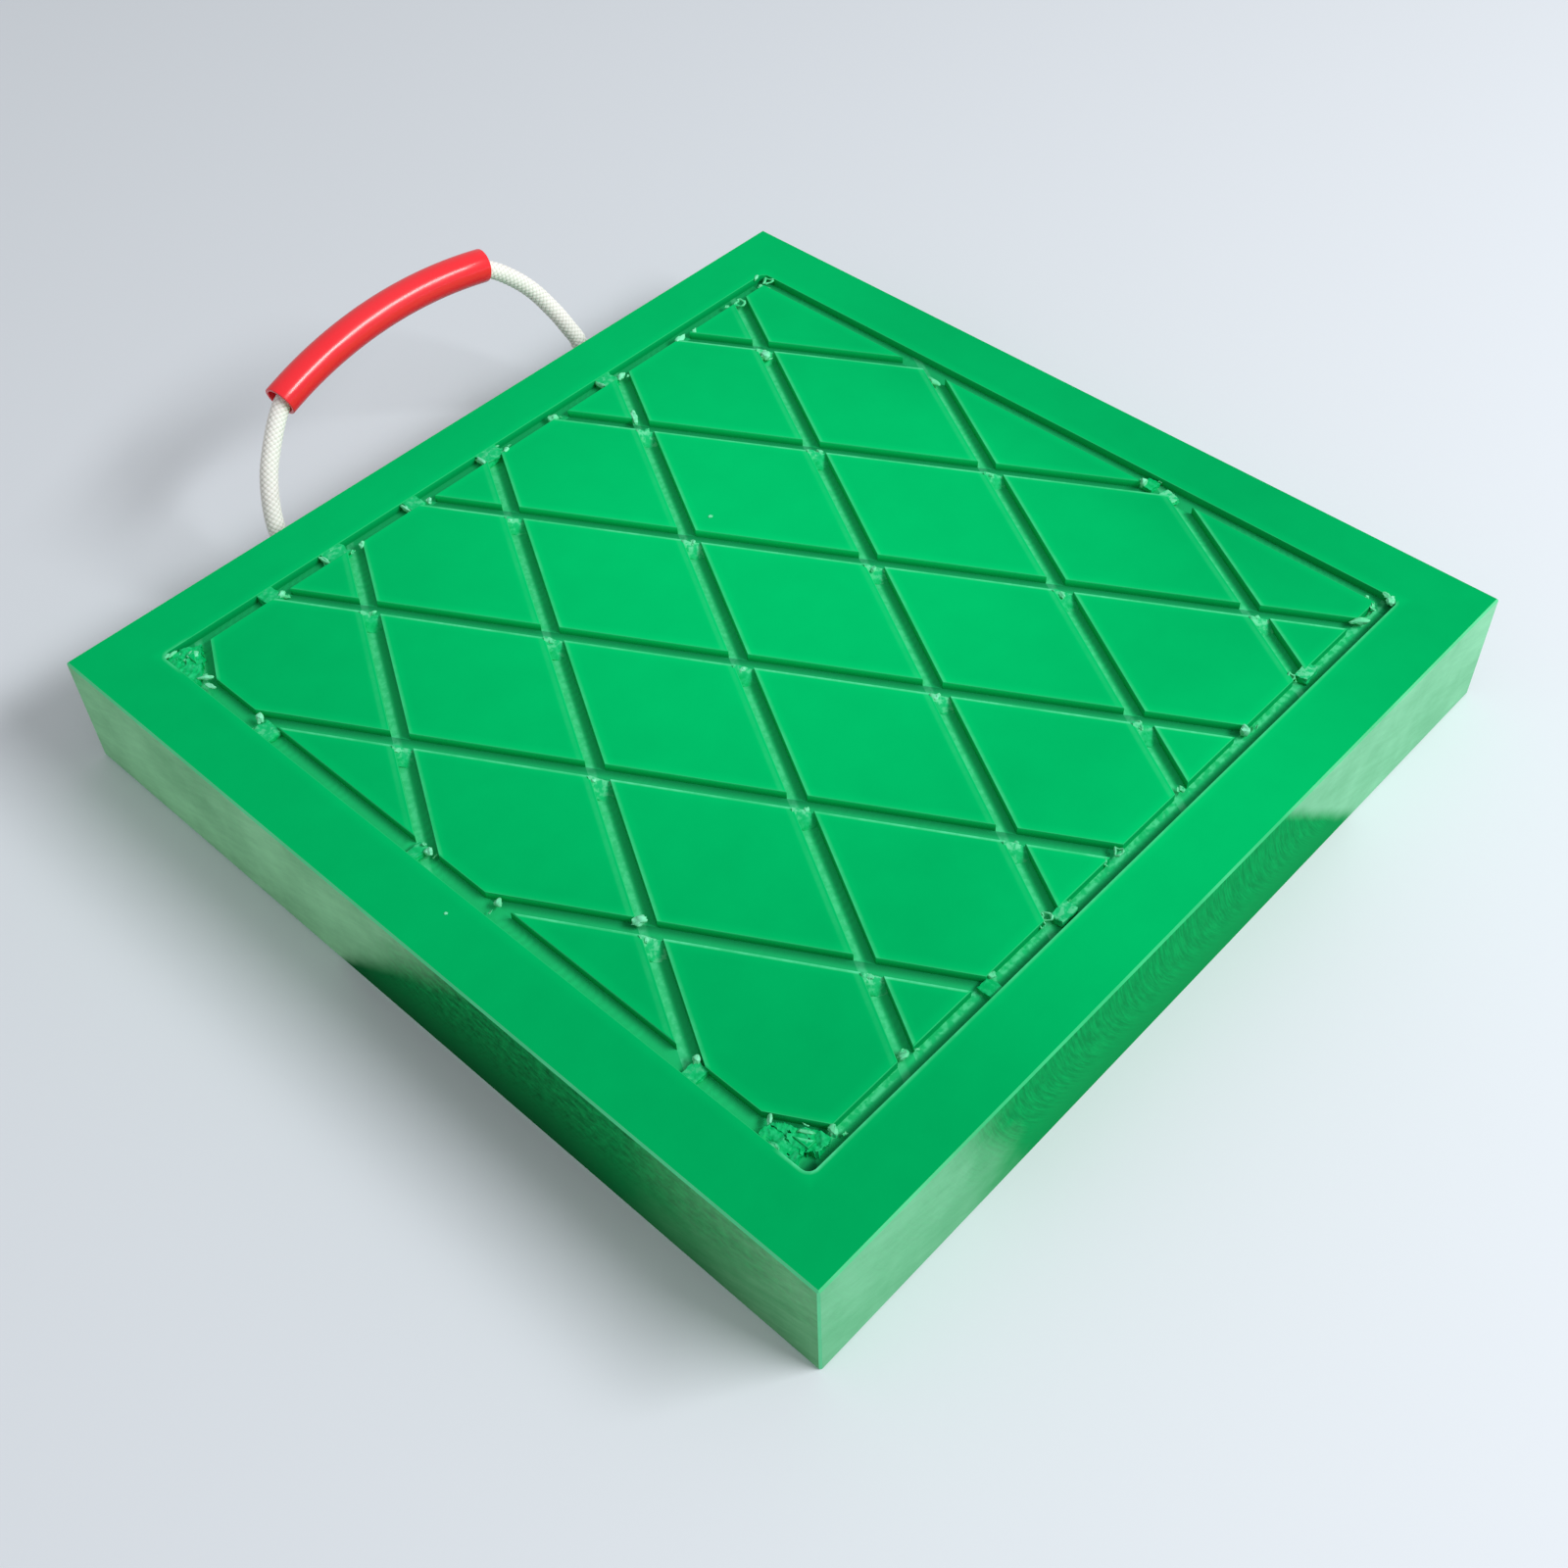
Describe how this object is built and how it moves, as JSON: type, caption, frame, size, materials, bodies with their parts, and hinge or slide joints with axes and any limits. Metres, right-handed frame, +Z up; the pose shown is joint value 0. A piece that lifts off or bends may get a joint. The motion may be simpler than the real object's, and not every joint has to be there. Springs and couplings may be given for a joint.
{
  "type": "crane outrigger pad",
  "caption": "Thick square plastic slab with a diamond pattern milled into its top and a rope handle with a tube grip, laid under an outrigger foot to spread its load.",
  "frame": {"origin": "middle of the slab's underside", "axes": "+Z is up, through the milled top; +Y points out of the side face that has the handle"},
  "size_m": [0.6, 0.6766, 0.1459],
  "materials": {
    "pad": "planed and milled polyethylene, satin",
    "rope": "braided synthetic rope",
    "grip": "smooth extruded tube, glossy"
  },
  "bodies": {
    "root": {"pad": "pad", "handle_rope": "rope", "rope_knots": "rope", "handle_grip": "grip"}
  },
  "joints": []
}
